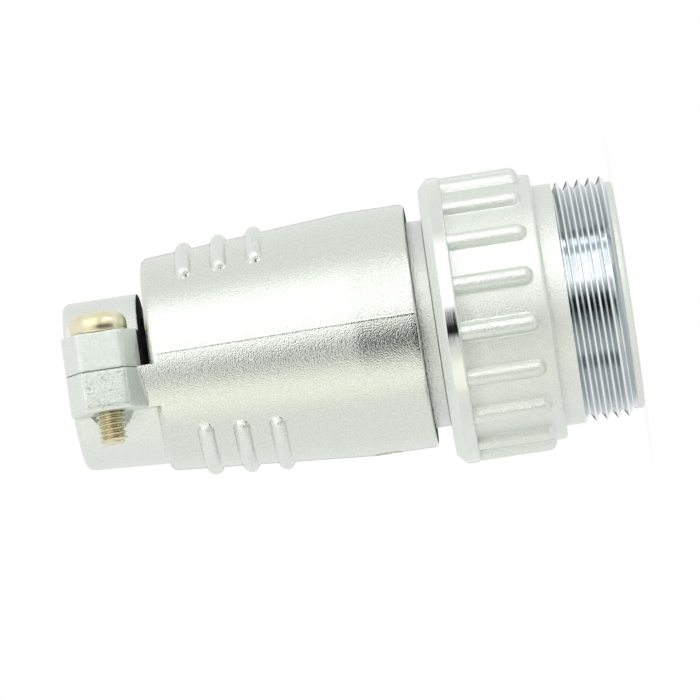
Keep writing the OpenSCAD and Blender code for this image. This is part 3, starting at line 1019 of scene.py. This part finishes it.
def mix_shaders(tree, share, first, second, output):
    """Mixes two shaders by a share of the second, into a material's or the world's output."""
    mix = tree.nodes.new("ShaderNodeMixShader")
    tree.links.new(share, mix.inputs["Fac"])
    tree.links.new(first.outputs[0], mix.inputs[1])
    tree.links.new(second.outputs[0], mix.inputs[2])
    tree.links.new(mix.outputs[0], tree.nodes[output].inputs["Surface"])


def seen_share(tree):
    """1 for rays that look at the background or mirror it, and 0 for rays that carry light."""
    rays = tree.nodes.new("ShaderNodeLightPath").outputs
    seen = math_node(tree, "MAXIMUM", rays["Is Camera Ray"], rays["Is Glossy Ray"])
    return math_node(tree, "MAXIMUM", seen, rays["Is Transmission Ray"])


def add_world():
    world = bpy.data.worlds.new("studio")
    bpy.context.scene.world = world
    world.use_nodes = True
    tree = world.node_tree
    light = tree.nodes["Background"]
    light.inputs["Color"].default_value = (*WORLD_COLOUR, 1)
    light.inputs["Strength"].default_value = WORLD_STRENGTH
    white = tree.nodes.new("ShaderNodeBackground")
    white.inputs["Color"].default_value = (1, 1, 1, 1)
    white.inputs["Strength"].default_value = 1
    mix_shaders(tree, seen_share(tree), light, white, "World Output")


def add_floor():
    """A white floor that takes the object's shadow near it and fades into the backdrop further out."""
    mesh = bpy.data.meshes.new("floor")
    corners = [(-1, -1), (1, -1), (1, 1), (-1, 1)]
    mesh.from_pydata([Vector((x, y, 0)) * FLOOR_HALF * MM for x, y in corners], [], [(0, 1, 2, 3)])
    floor = new_object("floor", mesh)
    material = bpy.data.materials.new("floor")
    material.use_nodes = True
    tree = material.node_tree
    shader = tree.nodes["Principled BSDF"]
    shader.inputs["Base Color"].default_value = (*FLOOR_COLOUR, 1)
    shader.inputs["Roughness"].default_value = FLOOR_ROUGHNESS
    white = tree.nodes.new("ShaderNodeEmission")
    distance = tree.nodes.new("ShaderNodeVectorMath")
    distance.operation = "LENGTH"
    tree.links.new(tree.nodes.new("ShaderNodeTexCoord").outputs["Object"], distance.inputs[0])
    fade = soft_step(tree, distance.outputs["Value"], SHADOW_START * MM, SHADOW_END * MM, SHADOW_SEEN)
    share = math_node(tree, "MULTIPLY", seen_share(tree), fade)
    mix_shaders(tree, share, shader, white, "Material Output")
    mesh.materials.append(material)


def studio_matrix(degrees_up):
    """Axes at the object's foot: X across, Y towards a direction in degrees from the camera to picture-up, Z up."""
    _, back, across = camera_axes()
    angle = math.radians(degrees_up)
    outward = back * math.cos(angle) + across * math.sin(angle)
    side = outward.cross(Vector((0, 0, 1)))
    return Matrix((side, outward, Vector((0, 0, 1)))).transposed().to_4x4()


def add_card(name, degrees_up, shape, strength, colour=(1, 1, 1), lights=False):
    """A studio card in a direction, with its shape in millimetres from the object's foot.

    strength(tree, axes) builds its brightness. A card that doesn't light is seen in metal only.
    """
    points, faces = shape
    mesh = bpy.data.meshes.new(name)
    mesh.from_pydata([Vector(p) * MM for p in points], [], faces)
    card = new_object(name, mesh)
    card.matrix_world = studio_matrix(degrees_up)
    material = bpy.data.materials.new(name)
    material.use_nodes = True
    tree = material.node_tree
    tree.nodes.remove(tree.nodes["Principled BSDF"])
    emission = tree.nodes.new("ShaderNodeEmission")
    emission.inputs["Color"].default_value = (*colour, 1)
    parts = tree.nodes.new("ShaderNodeSeparateXYZ")
    tree.links.new(tree.nodes.new("ShaderNodeTexCoord").outputs["Object"], parts.inputs[0])
    tree.links.new(strength(tree, parts.outputs), emission.inputs["Strength"])
    tree.links.new(emission.outputs[0], tree.nodes["Material Output"].inputs["Surface"])
    mesh.materials.append(material)
    card.visible_camera = False
    card.visible_diffuse = lights
    card.visible_shadow = lights


def tangent(degrees):
    return math.tan(math.radians(degrees))


def upright(distance, half_degrees, low, top):
    """Corners and face of a card that stands at a distance."""
    half = distance * tangent(half_degrees)
    points = [(-half, distance, low), (half, distance, low), (half, distance, top), (-half, distance, top)]
    return points, [(0, 1, 2, 3)]


def sheet(distance, half_degrees, foot, top, near=30):
    """Corners and faces of a card that lies just over the floor towards the object and then stands up."""
    rows = ((near, foot), (distance, foot), (distance, top))
    points = [(side * tangent(half_degrees) * y, y, z) for y, z in rows for side in (-1, 1)]
    return points, [(0, 1, 3, 2), (2, 3, 5, 4)]


def aside(tree, axes):
    """Tangent of the angle by which a card's point lies aside of the card's middle."""
    return math_node(tree, "DIVIDE", axes["X"], axes["Y"])


def fade_aside(tree, axes, start, end, middle=0.0, edge=1.0):
    """Brightness from a card's middle to its edge, easing between two angles on both sides."""
    side = math_node(tree, "ABSOLUTE", aside(tree, axes))
    return soft_step(tree, side, tangent(start), tangent(end), middle, edge)


def fade_below_and_above(tree, axes, below, above, middle=0.0, edge=1.0):
    """Brightness from a card's middle to its edge, easing between angles of its own below and above it."""
    side = aside(tree, axes)
    other = math_node(tree, "MULTIPLY", side, -1)
    fades = [soft_step(tree, s, tangent(start), tangent(end), middle, edge)
             for s, (start, end) in ((side, below), (other, above))]
    return math_node(tree, "MAXIMUM" if edge > middle else "MINIMUM", *fades)


def add_softbox():
    """The lamp above the camera: a large panel, brightest in its middle, and a low bright strip near the object."""
    def panel_strength(tree, axes):
        return fade_aside(tree, axes, start=14, end=46, middle=1.63, edge=1)

    def strip_strength(tree, axes):
        return fade_below_and_above(tree, axes, below=(19, 32), above=(21, 24), middle=THREAD_GLOW, edge=1)

    panel = upright(distance=620, half_degrees=46, low=1, top=800)
    strip = upright(distance=80, half_degrees=33, low=0.3, top=5)
    add_card("softbox", 32, panel, panel_strength, lights=True)
    add_card("softbox_strip", 41.5, strip, strip_strength, GLOW_COLOUR)


def add_dark_cards():
    """Dark cards beside the camera: for the shell, the flange's rim and, lying flat, the thread."""
    def shell_strength(tree, axes):
        to_side = fade_aside(tree, axes, start=4.5, end=13.5, middle=0.06)
        upward = soft_step(tree, axes["Z"], 40 * MM, 185 * MM)
        return math_node(tree, "MAXIMUM", to_side, upward)

    def rim_strength(tree, axes):
        return fade_aside(tree, axes, start=7.5, end=13)

    def thread_strength(tree, axes):
        return fade_below_and_above(tree, axes, below=(11, 34), above=(4, 13))

    shell_shape = upright(distance=520, half_degrees=14, low=27, top=200)
    rim_shape = upright(distance=515, half_degrees=13, low=6, top=27)
    thread_shape = sheet(distance=510, half_degrees=35, foot=0.2, top=6)
    add_card("shell_card", -10.5, shell_shape, shell_strength)
    add_card("rim_card", -2, rim_shape, rim_strength)
    add_card("thread_card", -2, thread_shape, thread_strength)


def add_warm_panel():
    """A pale warm panel below the camera."""
    def strength(tree, axes):
        return fade_aside(tree, axes, start=8, end=19, middle=1.22)

    panel = sheet(distance=580, half_degrees=20, foot=0.1, top=700)
    add_card("warm_panel", -44, panel, strength, WARM_COLOUR)


def add_back_card():
    """A dark card behind the object, which gives its far side a reflection too."""
    top = 300

    def strength(tree, axes):
        to_side = fade_aside(tree, axes, start=4, end=16, middle=0.1)
        upward = soft_step(tree, axes["Z"], 60 * MM, top * MM)
        return math_node(tree, "MAXIMUM", to_side, upward)

    shape = upright(distance=520, half_degrees=17, low=1, top=top)
    add_card("back_card", 180, shape, strength)


def add_seam(name, degrees_up, half_degrees, middle, edge=1.0):
    """A darker seam low between the studio's bright panels, which the thread shows as a thin line."""
    def strength(tree, axes):
        return fade_aside(tree, axes, 0.3 * half_degrees, half_degrees, middle, edge)

    shape = sheet(distance=78, half_degrees=half_degrees, foot=0.4, top=5)
    add_card(name, degrees_up, shape, strength)


build_pieces()
dress_nodes()
add_world()
add_floor()
add_softbox()
add_dark_cards()
add_warm_panel()
add_back_card()
add_seam("upper_seam", degrees_up=69, half_degrees=6, middle=0.4)
add_seam("middle_seam", degrees_up=50.5, half_degrees=7, middle=1.5, edge=THREAD_GLOW)
add_seam("lower_seam", degrees_up=-61, half_degrees=11, middle=0.3)
add_camera()
bpy.context.scene.view_settings.view_transform = "Standard"
